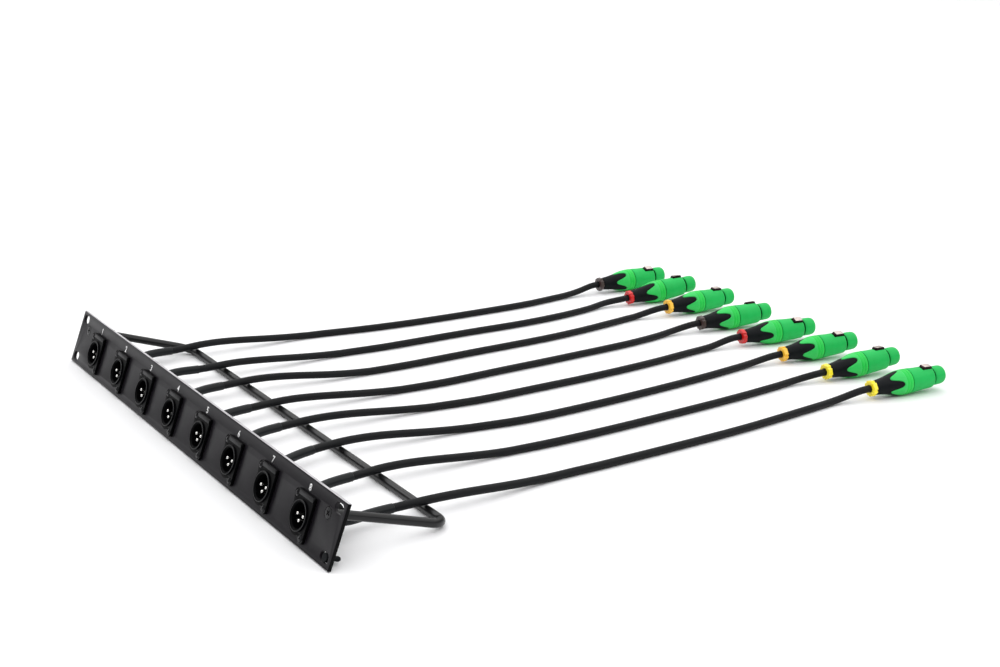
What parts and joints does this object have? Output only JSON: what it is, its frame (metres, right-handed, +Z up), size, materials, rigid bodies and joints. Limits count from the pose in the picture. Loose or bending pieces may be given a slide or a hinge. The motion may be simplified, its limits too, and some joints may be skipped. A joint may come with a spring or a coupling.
{
  "type": "xlr patch panel",
  "caption": "Rack-width panel of numbered male XLR inlets with a rear lacing bar; each inlet feeds a cable tail that ends in a green female plug with a sprung latch.",
  "frame": {"origin": "on the surface that the panel rests on, under the middle of the box round the plate, its sockets and the lacing bar", "axes": "+X along the panel from channel 1 to channel 8; +Y backwards, towards the plugs; +Z up. The plate leans back 19 degrees, resting on its rear lower edge and on the bar."},
  "size_m": [0.4826, 0.6241, 0.0432],
  "materials": {
    "panel": "black powder coat, satin",
    "bar": "black, satin",
    "screw": "blackened steel, satin",
    "receptacle": "black, satin",
    "insert": "black, matte",
    "cable": "black jacket, matte",
    "shell": "green, satin",
    "boot": "black, matte",
    "latch": "nickel, polished",
    "ring_brown": "dark brown, satin",
    "ring_red": "red, satin",
    "ring_amber": "amber, satin",
    "ring_yellow": "yellow, satin"
  },
  "bodies": {
    "panel_assembly": {"panel": "panel", "lacing_bar": "bar", "bar_screw_left": "screw", "bar_screw_right": "screw", "receptacle_1": "receptacle", "receptacle_2": "receptacle", "receptacle_3": "receptacle", "receptacle_4": "receptacle", "receptacle_5": "receptacle", "receptacle_6": "receptacle", "receptacle_7": "receptacle", "receptacle_8": "receptacle", "contact_insert_1": "insert", "contact_insert_2": "insert", "contact_insert_3": "insert", "contact_insert_4": "insert", "contact_insert_5": "insert", "contact_insert_6": "insert", "contact_insert_7": "insert", "contact_insert_8": "insert", "cable_1": "cable", "cable_2": "cable", "cable_3": "cable", "cable_4": "cable", "cable_5": "cable", "cable_6": "cable", "cable_7": "cable", "cable_8": "cable", "colour_ring_1": "ring_brown", "colour_ring_2": "ring_red", "colour_ring_3": "ring_amber", "colour_ring_4": "ring_brown", "colour_ring_5": "ring_red", "colour_ring_6": "ring_amber", "colour_ring_7": "ring_yellow", "colour_ring_8": "ring_yellow", "plug_boot_1": "boot", "plug_boot_2": "boot", "plug_boot_3": "boot", "plug_boot_4": "boot", "plug_boot_5": "boot", "plug_boot_6": "boot", "plug_boot_7": "boot", "plug_boot_8": "boot", "plug_shell_1": "shell", "plug_shell_2": "shell", "plug_shell_3": "shell", "plug_shell_4": "shell", "plug_shell_5": "shell", "plug_shell_6": "shell", "plug_shell_7": "shell", "plug_shell_8": "shell"},
    "latch_1": {"plug_latch_1": "latch"},
    "latch_2": {"plug_latch_2": "latch"},
    "latch_3": {"plug_latch_3": "latch"},
    "latch_4": {"plug_latch_4": "latch"},
    "latch_5": {"plug_latch_5": "latch"},
    "latch_6": {"plug_latch_6": "latch"},
    "latch_7": {"plug_latch_7": "latch"},
    "latch_8": {"plug_latch_8": "latch"}
  },
  "joints": [
    {"name": "latch_press_1", "type": "hinge", "parent": "panel_assembly", "child": "latch_1", "pos_m": [-0.21692, 0.53978, 0.01893], "axis": [-0.9498, 0.0512, 0.3087], "range_deg": [0, 6.5], "stiffness_Nm_per_rad": 0.25},
    {"name": "latch_press_2", "type": "hinge", "parent": "panel_assembly", "child": "latch_2", "pos_m": [-0.1703, 0.53946, 0.02055], "axis": [-0.9842, 0.0847, -0.1556], "range_deg": [0, 6.5], "stiffness_Nm_per_rad": 0.25},
    {"name": "latch_press_3", "type": "hinge", "parent": "panel_assembly", "child": "latch_3", "pos_m": [-0.12041, 0.54954, 0.01917], "axis": [-0.9979, 0.0381, 0.0523], "range_deg": [0, 6.5], "stiffness_Nm_per_rad": 0.25},
    {"name": "latch_press_4", "type": "hinge", "parent": "panel_assembly", "child": "latch_4", "pos_m": [-0.06314, 0.54341, 0.01933], "axis": [-0.9249, 0.1293, -0.3576], "range_deg": [0, 6.5], "stiffness_Nm_per_rad": 0.25},
    {"name": "latch_press_5", "type": "hinge", "parent": "panel_assembly", "child": "latch_5", "pos_m": [-0.00161, 0.54645, 0.01882], "axis": [-0.9126, 0.122, 0.3903], "range_deg": [0, 6.5], "stiffness_Nm_per_rad": 0.25},
    {"name": "latch_press_6", "type": "hinge", "parent": "panel_assembly", "child": "latch_6", "pos_m": [0.05298, 0.5451, 0.01985], "axis": [-0.9628, 0.1217, 0.2412], "range_deg": [0, 6.5], "stiffness_Nm_per_rad": 0.25},
    {"name": "latch_press_7", "type": "hinge", "parent": "panel_assembly", "child": "latch_7", "pos_m": [0.1039, 0.54414, 0.0201], "axis": [-0.9938, 0.0872, -0.0695], "range_deg": [0, 6.5], "stiffness_Nm_per_rad": 0.25},
    {"name": "latch_press_8", "type": "hinge", "parent": "panel_assembly", "child": "latch_8", "pos_m": [0.15886, 0.54344, 0.01919], "axis": [-0.9879, 0.0684, 0.1391], "range_deg": [0, 6.5], "stiffness_Nm_per_rad": 0.25}
  ]
}
